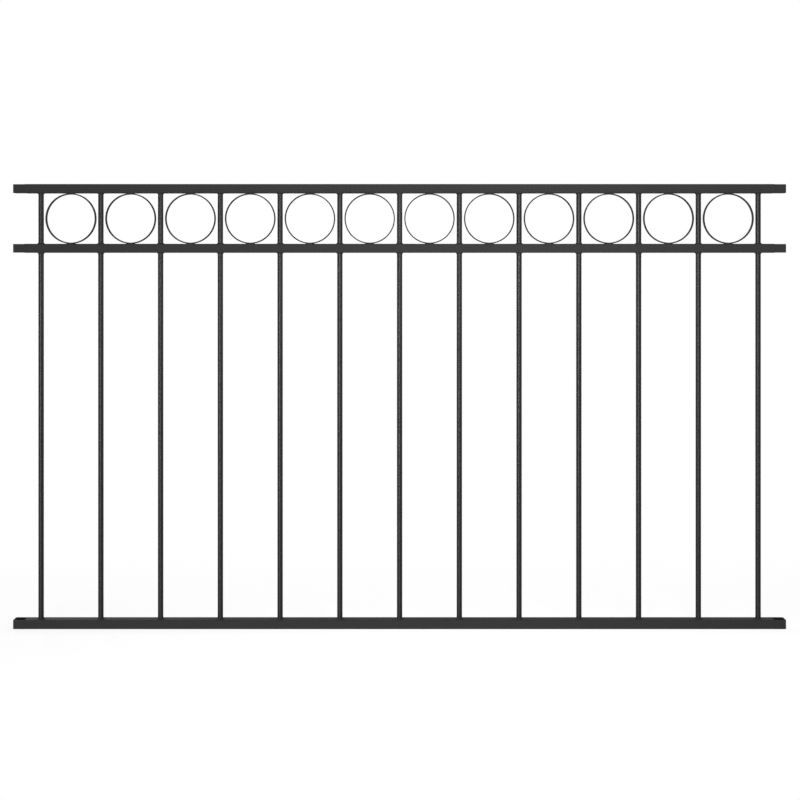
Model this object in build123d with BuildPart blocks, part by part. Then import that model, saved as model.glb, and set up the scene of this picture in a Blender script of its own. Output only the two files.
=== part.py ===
"""Steel fence panel: tube rails, round pickets and a row of rings, with a bent bracket on each rail end.

Millimetres. +X runs along the rails, +Y to the back and +Z up. The origin is the middle of the outer face
of the bottom rail's left bracket, where the panel is screwed to its post.
"""

import os

from build123d import *

# Overall size and spacing
panel_length = 1700.0  # over the outer faces of the brackets
picket_bay_height = 807.0  # clear height between the bottom and the middle rail
picket_count = 13
end_margin = 59.0  # from the bracket's face to the first picket's axis

# Rails: rectangular tube laid flat
rail_depth = 30.0
rail_height = 20.0
rail_wall = 1.5
rail_corner_radius = 2.5

# Pickets: round tube, through punched holes
picket_diameter = 12.0
picket_wall = 1.0
picket_clearance = 0.2  # around the picket in a punched hole
picket_end_gap = 2.0  # from the picket's end to the far wall inside the rail

# Rings: flat strip, rolled and welded at top and bottom
strip_width = 10.0
strip_thickness = 2.5
ring_side_gap = 4.4  # from the ring to the picket beside it
weld_gap = 0.15  # from the ring to the rail, filled by the weld

# End brackets: flat strip bent to a U, as deep as the rail and a little lower
bracket_length = 26.0
bracket_height = 19.0
bracket_thickness = 3.0
bracket_bend_radius = 1.5  # inside the bend
screw_hole_diameter = 5.5
screw_hole_inset = 8.0  # from the bracket's side to the hole's centre

# Places worked out from the sizes above
tube_length = panel_length - 2 * bracket_length
picket_pitch = (panel_length - 2 * end_margin) / (picket_count - 1)
ring_diameter = picket_pitch - picket_diameter - 2 * ring_side_gap
ring_bay_height = ring_diameter + 2 * weld_gap
bottom_axis = 0.0
middle_axis = bottom_axis + rail_height + picket_bay_height
top_axis = middle_axis + rail_height + ring_bay_height
ring_axis = (middle_axis + top_axis) / 2
picket_foot = bottom_axis - rail_height / 2 + rail_wall + picket_end_gap
picket_head = top_axis + rail_height / 2 - rail_wall - picket_end_gap
screw_hole_spacing = rail_depth - 2 * screw_hole_inset

os.makedirs("parts", exist_ok=True)

# Rails, with the walls that the pickets pass through: 1 is the upper wall and -1 the lower one
for name, axis_height, punched_walls in (
    ("bottom_rail", bottom_axis, (1,)),
    ("middle_rail", middle_axis, (1, -1)),
    ("top_rail", top_axis, (-1,)),
):
    tube_end = Plane(origin=(bracket_length, 0, axis_height), x_dir=(0, 1, 0), z_dir=(1, 0, 0))
    with BuildPart() as rail:
        with BuildSketch(tube_end):
            RectangleRounded(rail_depth, rail_height, rail_corner_radius)
            RectangleRounded(
                rail_depth - 2 * rail_wall,
                rail_height - 2 * rail_wall,
                rail_corner_radius - rail_wall,
                mode=Mode.SUBTRACT,
            )
        extrude(amount=tube_length)
        with BuildSketch(Plane(origin=(panel_length / 2, 0, axis_height))) as punched_holes:
            with GridLocations(picket_pitch, 1, picket_count, 1):
                Circle(picket_diameter / 2 + picket_clearance)
        for wall in punched_walls:
            extrude(punched_holes.sketch, amount=wall * rail_height, mode=Mode.SUBTRACT)
    rail.part.label = name
    export_step(rail.part, f"parts/{name}.step")

# Pickets, from inside the bottom rail to inside the top rail
for number in range(picket_count):
    name = f"picket_{number + 1:02d}"
    with BuildPart() as picket:
        with BuildSketch(Plane(origin=(end_margin + number * picket_pitch, 0, picket_foot))):
            Circle(picket_diameter / 2)
            Circle(picket_diameter / 2 - picket_wall, mode=Mode.SUBTRACT)
        extrude(amount=picket_head - picket_foot)
    picket.part.label = name
    export_step(picket.part, f"parts/{name}.step")

# Rings, one in the middle of each bay between the two upper rails
for number in range(picket_count - 1):
    name = f"ring_{number + 1:02d}"
    ring_x = end_margin + (number + 0.5) * picket_pitch
    ring_front = Plane(origin=(ring_x, -strip_width / 2, ring_axis), x_dir=(1, 0, 0), z_dir=(0, 1, 0))
    with BuildPart() as ring:
        with BuildSketch(ring_front):
            Circle(ring_diameter / 2)
            Circle(ring_diameter / 2 - strip_thickness, mode=Mode.SUBTRACT)
        extrude(amount=strip_width)
    ring.part.label = name
    export_step(ring.part, f"parts/{name}.step")

# Brackets: the bent strip's two legs run inwards to the tube, and screws go through its web
half_depth = rail_depth / 2
inner_half_depth = half_depth - bracket_thickness
for rail_name, axis_height in (("bottom", bottom_axis), ("middle", middle_axis), ("top", top_axis)):
    for side, face_x, inwards in (("left", 0.0, 1), ("right", panel_length, -1)):
        name = f"{rail_name}_{side}_bracket"
        web_x = face_x + inwards * bracket_thickness
        leg_x = face_x + inwards * bracket_length
        with BuildPart() as bracket:
            with BuildSketch(Plane.XY.offset(axis_height - bracket_height / 2)):
                with BuildLine():
                    outside = FilletPolyline(
                        (leg_x, -half_depth),
                        (face_x, -half_depth),
                        (face_x, half_depth),
                        (leg_x, half_depth),
                        radius=bracket_bend_radius + bracket_thickness,
                    )
                    inside = FilletPolyline(
                        (leg_x, -inner_half_depth),
                        (web_x, -inner_half_depth),
                        (web_x, inner_half_depth),
                        (leg_x, inner_half_depth),
                        radius=bracket_bend_radius,
                    )
                    Line(outside @ 0, inside @ 0)
                    Line(outside @ 1, inside @ 1)
                make_face()
            extrude(amount=bracket_height)
            with BuildSketch(Plane(origin=(face_x, 0, axis_height), x_dir=(0, 1, 0), z_dir=(inwards, 0, 0))):
                with GridLocations(screw_hole_spacing, 1, 2, 1):
                    Circle(screw_hole_diameter / 2)
            extrude(amount=bracket_thickness, mode=Mode.SUBTRACT)
        bracket.part.label = name
        export_step(bracket.part, f"parts/{name}.step")
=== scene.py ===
"""The steel fence panel's looks: black powder coat over tube and strip, and the weld beads between them."""

import math

import bpy
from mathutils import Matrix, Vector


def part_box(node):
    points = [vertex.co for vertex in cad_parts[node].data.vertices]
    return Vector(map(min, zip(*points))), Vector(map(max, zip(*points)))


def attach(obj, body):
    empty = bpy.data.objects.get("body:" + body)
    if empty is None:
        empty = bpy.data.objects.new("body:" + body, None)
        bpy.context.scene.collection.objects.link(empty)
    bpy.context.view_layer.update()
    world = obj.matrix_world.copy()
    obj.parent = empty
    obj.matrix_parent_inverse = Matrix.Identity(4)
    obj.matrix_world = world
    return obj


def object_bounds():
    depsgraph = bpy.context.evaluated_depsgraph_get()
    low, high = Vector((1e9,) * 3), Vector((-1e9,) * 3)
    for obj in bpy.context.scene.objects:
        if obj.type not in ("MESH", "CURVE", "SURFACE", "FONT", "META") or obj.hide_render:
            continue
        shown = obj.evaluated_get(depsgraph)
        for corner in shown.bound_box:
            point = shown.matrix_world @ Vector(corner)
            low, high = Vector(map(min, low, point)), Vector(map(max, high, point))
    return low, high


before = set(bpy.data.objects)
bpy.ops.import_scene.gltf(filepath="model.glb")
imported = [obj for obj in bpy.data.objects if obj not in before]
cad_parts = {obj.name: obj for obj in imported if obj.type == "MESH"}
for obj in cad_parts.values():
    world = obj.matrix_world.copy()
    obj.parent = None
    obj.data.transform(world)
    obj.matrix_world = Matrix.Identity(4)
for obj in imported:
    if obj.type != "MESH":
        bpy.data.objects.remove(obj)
cad_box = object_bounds()

# Rails
# Three rectangular steel tubes, rolled and seam-welded at the mill, laid flat and punched for the pickets.
# The welded panel is blasted, dusted with black polyester powder and baked to one even skin.
MILLIMETRE = 0.001  # of a metre
COAT_CLOUD = 90 * MILLIMETRE  # size of the uneven patches that the spray gun leaves
COAT_CLOUD_DETAIL = 3.0  # octaves of finer patches in them
COAT_CLOUD_GRAIN = 0.55  # how much those finer patches count
COAT_PEEL = 5 * MILLIMETRE  # orange peel, really about 2 mm across and drawn coarser so that it shows
COAT_PEEL_DETAIL = 1.0
COAT_PEEL_GRAIN = 0.4
COAT_PEEL_STRENGTH = 0.5
COAT_PEEL_DEPTH = 0.03 * MILLIMETRE
COAT_IOR = 1.5  # polyester resin
MILL_LINE_WIDTH = 3 * MILLIMETRE  # rolling lines under the coat, drawn wider than real so that they show
MILL_LINE_STRETCH = 60  # how many times longer than wide they are
MILL_LINE_DETAIL = 2.0
MILL_LINE_LEVELS = (0.3, 0.7)  # the noise levels of the smoothest and the roughest line
MILL_LINE_CHANGE = 0.04  # how far a line moves the coat's roughness, either way
FLAT_COAT = {
    "blacks": ("#222222", "#262626"),  # where the powder lies thin, and where it lies thick
    "roughness": 0.7,
    "shine": 0.03,  # specular level
}


def linear(hex_colour):
    """Linear red, green, blue and alpha of an sRGB hex colour."""
    channels = [int(hex_colour[i : i + 2], 16) / 255 for i in (1, 3, 5)]
    return [c / 12.92 if c <= 0.04045 else ((c + 0.055) / 1.055) ** 2.4 for c in channels] + [1.0]


def add_node(tree, kind, inputs=None, **settings):
    """Adds a node with its settings, and sets or links its inputs."""
    node = tree.nodes.new(kind)
    for name, value in settings.items():
        setattr(node, name, value)
    for socket, value in (inputs or {}).items():
        if isinstance(value, bpy.types.NodeSocket):
            tree.links.new(value, node.inputs[socket])
        else:
            node.inputs[socket].default_value = value
    return node


def powder_coat(name, lines_along, blacks, roughness, shine, peel_depth=COAT_PEEL_DEPTH):
    """Black polyester powder coat, baked: low gloss, faintly dimpled, with the steel's lines under it."""
    material = bpy.data.materials.new(name)
    material.use_nodes = True
    tree = material.node_tree
    tree.nodes.clear()
    place = add_node(tree, "ShaderNodeTexCoord").outputs["Object"]

    cloud = add_node(
        tree,
        "ShaderNodeTexNoise",
        {
            "Vector": place,
            "Scale": 1 / COAT_CLOUD,
            "Detail": COAT_CLOUD_DETAIL,
            "Roughness": COAT_CLOUD_GRAIN,
        },
    )
    colour = add_node(
        tree,
        "ShaderNodeMix",
        {"Factor": cloud.outputs["Fac"], "A": linear(blacks[0]), "B": linear(blacks[1])},
        data_type="RGBA",
    )

    stretch = [1 / MILL_LINE_STRETCH if axis == lines_along else 1.0 for axis in "XYZ"]
    lines_place = add_node(tree, "ShaderNodeMapping", {"Vector": place, "Scale": stretch})
    lines = add_node(
        tree,
        "ShaderNodeTexNoise",
        {
            "Vector": lines_place.outputs["Vector"],
            "Scale": 1 / MILL_LINE_WIDTH,
            "Detail": MILL_LINE_DETAIL,
        },
    )
    gloss = add_node(
        tree,
        "ShaderNodeMapRange",
        {
            "Value": lines.outputs["Fac"],
            "From Min": MILL_LINE_LEVELS[0],
            "From Max": MILL_LINE_LEVELS[1],
            "To Min": roughness - MILL_LINE_CHANGE,
            "To Max": roughness + MILL_LINE_CHANGE,
        },
    )

    peel = add_node(
        tree,
        "ShaderNodeTexNoise",
        {
            "Vector": place,
            "Scale": 1 / COAT_PEEL,
            "Detail": COAT_PEEL_DETAIL,
            "Roughness": COAT_PEEL_GRAIN,
        },
    )
    bump = add_node(
        tree,
        "ShaderNodeBump",
        {"Height": peel.outputs["Fac"], "Strength": COAT_PEEL_STRENGTH, "Distance": peel_depth},
    )

    coat = add_node(
        tree,
        "ShaderNodeBsdfPrincipled",
        {
            "Base Color": colour.outputs["Result"],
            "Roughness": gloss.outputs["Result"],
            "Normal": bump.outputs["Normal"],
            "IOR": COAT_IOR,
            "Specular IOR Level": shine,
        },
    )
    add_node(tree, "ShaderNodeOutputMaterial", {"Surface": coat.outputs["BSDF"]})
    return material


def paint(nodes, material):
    """Gives CAD nodes a material in the slots that they already have."""
    for name in nodes:
        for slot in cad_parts[name].material_slots:
            slot.material = material


rail_names = ["bottom_rail", "middle_rail", "top_rail"]
rail_coat = powder_coat("black_powder_coat_on_rail_tube", "X", **FLAT_COAT)
paint(rail_names, rail_coat)

# Pickets
# Round steel tubes that stand in punched holes: through the middle rail, and into the other two.
# They carry the same coat, which draws out thinner and smoother round them and takes a sharper light.
# The pickets' blacks are darker than the rails' as painted shade, so the round tubes render darker.
ROUND_COAT = {
    "blacks": ("#121212", "#161616"),
    "roughness": 0.4,
    "shine": 0.12,
    "peel_depth": 0.008 * MILLIMETRE,
}
picket_names = sorted(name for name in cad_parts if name.startswith("picket_"))
picket_coat = powder_coat("black_powder_coat_on_picket_tube", "Z", **ROUND_COAT)
paint(picket_names, picket_coat)

# Rings
# Narrow flat strip, rolled to a circle and set on edge between the two upper rails, one in each bay.
# Its lines run round the ring and close up under the coat, so the coat on strip has no direction.
ring_names = sorted(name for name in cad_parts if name.startswith("ring_"))
strip_coat = powder_coat("black_powder_coat_on_strip", None, **FLAT_COAT)
paint(ring_names, strip_coat)

# End brackets
# Flat strip bent to a U and welded across each rail's end, with two screw holes through its web.
# It is coated with the rest of the panel.
bracket_names = sorted(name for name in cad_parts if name.endswith("_bracket"))
paint(bracket_names, strip_coat)

# Picket welds
# A small fillet of weld metal runs round each picket where it meets a rail, laid in ripples by hand.
# The coat covers it, so it shows only as a soft collar.
PICKET_WELD_LEG = 1.7 * MILLIMETRE  # how far the bead reaches out from the picket, and up it
PICKET_WELD_SEGMENTS = 40  # round the picket
PICKET_WELD_SIDES = 10  # round the bead
PICKET_WELD_RIPPLE = 0.18 * MILLIMETRE
WELD_SINK = 0.3  # how far a bead's root reaches into the rail, as a share of its height
WELD_LUMP = 5 * MILLIMETRE  # the unevenness of a bead laid by hand
WELD_LUMP_DEPTH = 0.5 * MILLIMETRE
WELD_PEEL_DEPTH = 2 * COAT_PEEL_DEPTH  # the coat follows the rough skin of the bead
weld_coat = powder_coat("black_powder_coat_on_weld", None, **FLAT_COAT, peel_depth=WELD_PEEL_DEPTH)


def middle_along(name):
    """Where a CAD node's middle lies along the rails."""
    low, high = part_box(name)
    return (low.x + high.x) / 2


def select_points(piece, wanted):
    """Selects a mesh's points by their place, and leaves the piece in edit mode."""
    bpy.ops.object.mode_set(mode="EDIT")
    bpy.ops.mesh.select_mode(type="VERT")
    bpy.ops.mesh.select_all(action="DESELECT")
    bpy.ops.object.mode_set(mode="OBJECT")
    for point in piece.data.vertices:
        point.select = wanted(point.co)
    bpy.ops.object.mode_set(mode="EDIT")


def weld_row(name, model, places, turned_over):
    """Copies a weld bead to each place, joins the copies, roughens them and fixes the row to the panel."""
    copies = []
    for place in places:
        bpy.ops.object.select_all(action="DESELECT")
        model.select_set(True)
        bpy.context.view_layer.objects.active = model
        bpy.ops.object.duplicate()
        copy = bpy.context.object
        copy.location = place
        copy.rotation_euler = (math.pi if turned_over else 0, 0, 0)
        copies.append(copy)

    bpy.ops.object.select_all(action="DESELECT")
    for copy in copies:
        copy.select_set(True)
    bpy.context.view_layer.objects.active = copies[0]
    bpy.ops.object.join()
    row = bpy.context.object
    row.name = name
    bpy.ops.object.transform_apply(location=True, rotation=True, scale=True)

    lumps = bpy.data.textures.new(name + "_lumps", type="CLOUDS")
    lumps.noise_scale = WELD_LUMP
    uneven = row.modifiers.new("uneven", "DISPLACE")
    uneven.texture = lumps
    uneven.texture_coords = "LOCAL"
    uneven.strength = WELD_LUMP_DEPTH
    bpy.ops.object.modifier_apply(modifier=uneven.name)

    bpy.ops.object.shade_smooth()
    row.data.materials.append(weld_coat)
    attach(row, "root")


picket_low, picket_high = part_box(picket_names[0])
picket_radius = (picket_high.x - picket_low.x) / 2
picket_places = [middle_along(name) for name in picket_names]

bpy.ops.object.select_all(action="DESELECT")
bpy.ops.mesh.primitive_torus_add(
    major_radius=picket_radius,
    minor_radius=PICKET_WELD_LEG,
    major_segments=PICKET_WELD_SEGMENTS,
    minor_segments=PICKET_WELD_SIDES,
    location=(0, 0, 0),
)
picket_weld = bpy.context.object
# The lower half is pressed flat, to a shallow root inside the rail
select_points(picket_weld, lambda co: co.z < 0)
bpy.ops.transform.resize(value=(1, 1, WELD_SINK), center_override=(0, 0, 0))
# Every second segment stands out a little, as the ripples do
segment_turn = 2 * math.pi / PICKET_WELD_SEGMENTS
select_points(picket_weld, lambda co: round(math.atan2(co.y, co.x) / segment_turn) % 2 == 0)
bpy.ops.transform.shrink_fatten(value=PICKET_WELD_RIPPLE)
bpy.ops.object.mode_set(mode="OBJECT")

for row_name, seat_height, turned_over in (
    ("picket_welds_over_bottom_rail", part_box("bottom_rail")[1].z, False),
    ("picket_welds_over_middle_rail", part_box("middle_rail")[1].z, False),
    ("picket_welds_under_middle_rail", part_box("middle_rail")[0].z, True),
    ("picket_welds_under_top_rail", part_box("top_rail")[0].z, True),
):
    weld_row(row_name, picket_weld, [(x, 0, seat_height) for x in picket_places], turned_over)
bpy.data.objects.remove(picket_weld)

# Ring welds
# Each ring touches the rail along one line, and a bead on each side of that line fills the narrow wedge.
# The bead is as long as the strip is wide.
RING_WELD_OFFSET = 6.5 * MILLIMETRE  # from the line of contact to the bead's middle
RING_WELD_REACH = 4.5 * MILLIMETRE  # from the bead's middle, along the rail
RING_WELD_HEIGHT = 0.9 * MILLIMETRE
RING_WELD_ROWS = 8
BEAD_SEGMENTS = 16
ring_low, ring_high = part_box(ring_names[0])
strip_width = ring_high.y - ring_low.y
ring_places = [middle_along(name) for name in ring_names]

bpy.ops.object.select_all(action="DESELECT")
bpy.ops.mesh.primitive_uv_sphere_add(
    segments=BEAD_SEGMENTS, ring_count=RING_WELD_ROWS, radius=1, location=(0, 0, 0)
)
ring_weld = bpy.context.object
bpy.ops.object.mode_set(mode="EDIT")
bpy.ops.mesh.select_all(action="SELECT")
bpy.ops.transform.resize(
    value=(RING_WELD_REACH, strip_width / 2, RING_WELD_HEIGHT), center_override=(0, 0, 0)
)
# The lower half is pressed flat, to a shallow root inside the rail
select_points(ring_weld, lambda co: co.z < 0)
bpy.ops.transform.resize(value=(1, 1, WELD_SINK), center_override=(0, 0, 0))
bpy.ops.object.mode_set(mode="OBJECT")

ring_weld_places = [x + side * RING_WELD_OFFSET for x in ring_places for side in (-1, 1)]
for row_name, seat_height, turned_over in (
    ("ring_welds_over_middle_rail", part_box("middle_rail")[1].z, False),
    ("ring_welds_under_top_rail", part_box("top_rail")[0].z, True),
):
    weld_row(row_name, ring_weld, [(x, 0, seat_height) for x in ring_weld_places], turned_over)
bpy.data.objects.remove(ring_weld)

# Bracket welds
# A bracket's two legs butt against the rail's end, and one low pass of weld runs down each joint.
# It is laid in ripples from the outside, front and back, and fades out at both ends.
BRACKET_WELD_WIDTH = 5 * MILLIMETRE
BRACKET_WELD_HEIGHT = 0.35 * MILLIMETRE  # proud of the rail's face
BRACKET_WELD_ROWS = 24
BRACKET_WELD_RIPPLE = 0.08 * MILLIMETRE
bracket_low, bracket_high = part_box(bracket_names[0])
bracket_height = bracket_high.z - bracket_low.z

bpy.ops.object.select_all(action="DESELECT")
bpy.ops.mesh.primitive_uv_sphere_add(
    segments=BEAD_SEGMENTS, ring_count=BRACKET_WELD_ROWS, radius=bracket_height / 2, location=(0, 0, 0)
)
bracket_weld = bpy.context.object
bpy.ops.object.mode_set(mode="EDIT")
bpy.ops.mesh.select_all(action="SELECT")
bpy.ops.transform.resize(
    value=(BRACKET_WELD_WIDTH / bracket_height, 2 * BRACKET_WELD_HEIGHT / bracket_height, 1),
    center_override=(0, 0, 0),
)
# Every second row of points stands out a little, as the ripples do
row_turn = math.pi / BRACKET_WELD_ROWS
select_points(bracket_weld, lambda co: round(math.acos(2 * co.z / bracket_height) / row_turn) % 2 == 0)
bpy.ops.transform.shrink_fatten(value=BRACKET_WELD_RIPPLE)
bpy.ops.object.mode_set(mode="OBJECT")

bracket_weld_places = []
for rail_name in rail_names:
    rail_low, rail_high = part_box(rail_name)
    for joint_x in (rail_low.x, rail_high.x):
        for face_y in (rail_low.y, rail_high.y):
            bracket_weld_places.append((joint_x, face_y, (rail_low.z + rail_high.z) / 2))
weld_row("bracket_welds", bracket_weld, bracket_weld_places, turned_over=False)
bpy.data.objects.remove(bracket_weld)

# Studio
# A plain white floor under the panel and a white surround, seen as white by the eye and in reflections.
# The floor keeps part of its own shading near the panel, so the panel's soft shadow stays on it.
FLOOR_SIZE = 60.0
FLOOR_PAINT = "#fafafa"
STUDIO_WHITE = "#ffffff"
FLOOR_GLOW_NEAR = 0.8  # share of plain white that the floor shows beside the panel, the rest being paint
FLOOR_GLOW_START = 0.1  # distance before or behind the panel where that share starts to grow
FLOOR_GLOW_END = 1.0  # and where the floor is plain white
FLOOR_GLOW_LENGTH = 3.0  # how many times further it reaches along the panel
SURROUND_LIGHT = 0.12
panel_middle = (cad_box[0] + cad_box[1]) / 2


def seen_rays(tree):
    """1 for rays from the eye, mirrors and glass, 0 for the rays that carry soft light."""
    path = add_node(tree, "ShaderNodeLightPath")
    mirrored = add_node(
        tree,
        "ShaderNodeMath",
        {0: path.outputs["Is Glossy Ray"], 1: path.outputs["Is Transmission Ray"]},
        operation="MAXIMUM",
    )
    seen = add_node(
        tree,
        "ShaderNodeMath",
        {0: path.outputs["Is Camera Ray"], 1: mirrored.outputs["Value"]},
        operation="MAXIMUM",
    )
    return seen.outputs["Value"]


floor_material = bpy.data.materials.new("matt_white_floor_paint")
floor_material.use_nodes = True
floor_tree = floor_material.node_tree
floor_tree.nodes.clear()

floor_place = add_node(
    floor_tree,
    "ShaderNodeMapping",
    {
        "Vector": add_node(floor_tree, "ShaderNodeTexCoord").outputs["Object"],
        "Location": (-panel_middle.x / FLOOR_GLOW_LENGTH, -panel_middle.y, 0),
        "Scale": (1 / FLOOR_GLOW_LENGTH, 1, 1),
    },
)
floor_from_panel = add_node(
    floor_tree, "ShaderNodeVectorMath", {0: floor_place.outputs["Vector"]}, operation="LENGTH"
)
floor_glow = add_node(
    floor_tree,
    "ShaderNodeMapRange",
    {
        "Value": floor_from_panel.outputs["Value"],
        "From Min": FLOOR_GLOW_START,
        "From Max": FLOOR_GLOW_END,
        "To Min": FLOOR_GLOW_NEAR,
        "To Max": 1.0,
    },
    interpolation_type="SMOOTHSTEP",
)
floor_share = add_node(
    floor_tree,
    "ShaderNodeMath",
    {0: seen_rays(floor_tree), 1: floor_glow.outputs["Result"]},
    operation="MULTIPLY",
)
floor_lit = add_node(floor_tree, "ShaderNodeBsdfDiffuse", {"Color": linear(FLOOR_PAINT)})
floor_white = add_node(floor_tree, "ShaderNodeEmission", {"Color": linear(STUDIO_WHITE), "Strength": 1.0})
floor_mix = add_node(
    floor_tree,
    "ShaderNodeMixShader",
    {0: floor_share.outputs["Value"], 1: floor_lit.outputs["BSDF"], 2: floor_white.outputs["Emission"]},
)
add_node(floor_tree, "ShaderNodeOutputMaterial", {"Surface": floor_mix.outputs["Shader"]})

bpy.ops.object.select_all(action="DESELECT")
bpy.ops.mesh.primitive_plane_add(size=FLOOR_SIZE, location=(0, 0, cad_box[0].z))
floor = bpy.context.object
floor.name = "studio_floor"
floor.data.materials.append(floor_material)

surround = bpy.data.worlds.new("studio_surround")
surround.use_nodes = True
surround_tree = surround.node_tree
surround_tree.nodes.clear()
surround_level = add_node(
    surround_tree,
    "ShaderNodeMapRange",
    {"Value": seen_rays(surround_tree), "To Min": SURROUND_LIGHT, "To Max": 1.0},
)
surround_white = add_node(
    surround_tree,
    "ShaderNodeBackground",
    {"Color": linear(STUDIO_WHITE), "Strength": surround_level.outputs["Result"]},
)
add_node(surround_tree, "ShaderNodeOutputWorld", {"Surface": surround_white.outputs["Background"]})
bpy.context.scene.world = surround

# Lights
# Soft boxes: a large one overhead, a gridded key beyond the camera, on its left, that draws a pale line
# down each picket, a small one near the panel that lays a sheen along the upper rails, and two behind.
KEY_SPREAD = math.radians(60)


def soft_box(name, offset, width, height, power, spread=math.pi):
    """A soft box at an offset from the panel's middle, aimed at it. A grid narrows its spread."""
    lamp = bpy.data.lights.new(name, "AREA")
    lamp.shape = "RECTANGLE"
    lamp.size = width
    lamp.size_y = height
    lamp.energy = power
    lamp.spread = spread
    box = bpy.data.objects.new(name, lamp)
    bpy.context.scene.collection.objects.link(box)
    box.location = [middle + shift for middle, shift in zip(panel_middle, offset)]
    aim = panel_middle - box.location
    box.rotation_euler = aim.to_track_quat("-Z", "Y").to_euler()
    box.visible_camera = False


soft_box("overhead_box", offset=(0.2, -0.6, 3.2), width=3.0, height=3.0, power=75)
soft_box("key_box", offset=(-1.9, -5.8, -0.22), width=1.6, height=0.48, power=50, spread=KEY_SPREAD)
soft_box("sheen_box", offset=(0.4, -1.0, 0.45), width=0.6, height=0.4, power=13)
soft_box("left_back_box", offset=(-3.0, 4.6, 1.6), width=1.6, height=1.6, power=160)
soft_box("right_back_box", offset=(3.4, 4.2, 1.6), width=1.6, height=1.6, power=60)

# Camera
# It looks level and square on at the panel, as the photograph does, so the pickets stay upright.
# The frame is shifted down to take in all of it, and the bottom rail shows a narrow strip of its top.
PHOTO_SIZE = 800  # pixels
PANEL_LEFT_COLUMN = 12.63
PANEL_RIGHT_COLUMN = 786.56
BOTTOM_RAIL_ROW = 624.8  # middle of the bottom rail's front face
HORIZON_ROW = 255
CAMERA_DISTANCE = 3.25  # from the rails' front faces
CAMERA_REACH = 200  # beyond the floor's far corners
rails_front = cad_box[0].y
pixel = (cad_box[1].x - cad_box[0].x) / (PANEL_RIGHT_COLUMN - PANEL_LEFT_COLUMN)
bottom_low, bottom_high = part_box("bottom_rail")

camera_data = bpy.data.cameras.new("photo_camera")
camera_data.lens = camera_data.sensor_width * CAMERA_DISTANCE / (PHOTO_SIZE * pixel)
camera_data.shift_y = (HORIZON_ROW - PHOTO_SIZE / 2) / PHOTO_SIZE
camera_data.clip_end = CAMERA_REACH
camera = bpy.data.objects.new("photo_camera", camera_data)
bpy.context.scene.collection.objects.link(camera)
camera.location = (
    panel_middle.x + (PHOTO_SIZE - PANEL_LEFT_COLUMN - PANEL_RIGHT_COLUMN) / 2 * pixel,
    rails_front - CAMERA_DISTANCE,
    (bottom_low.z + bottom_high.z) / 2 + (BOTTOM_RAIL_ROW - HORIZON_ROW) * pixel,
)
camera.rotation_euler = (math.pi / 2, 0, 0)
bpy.context.scene.camera = camera

bpy.context.scene.view_settings.view_transform = "Standard"
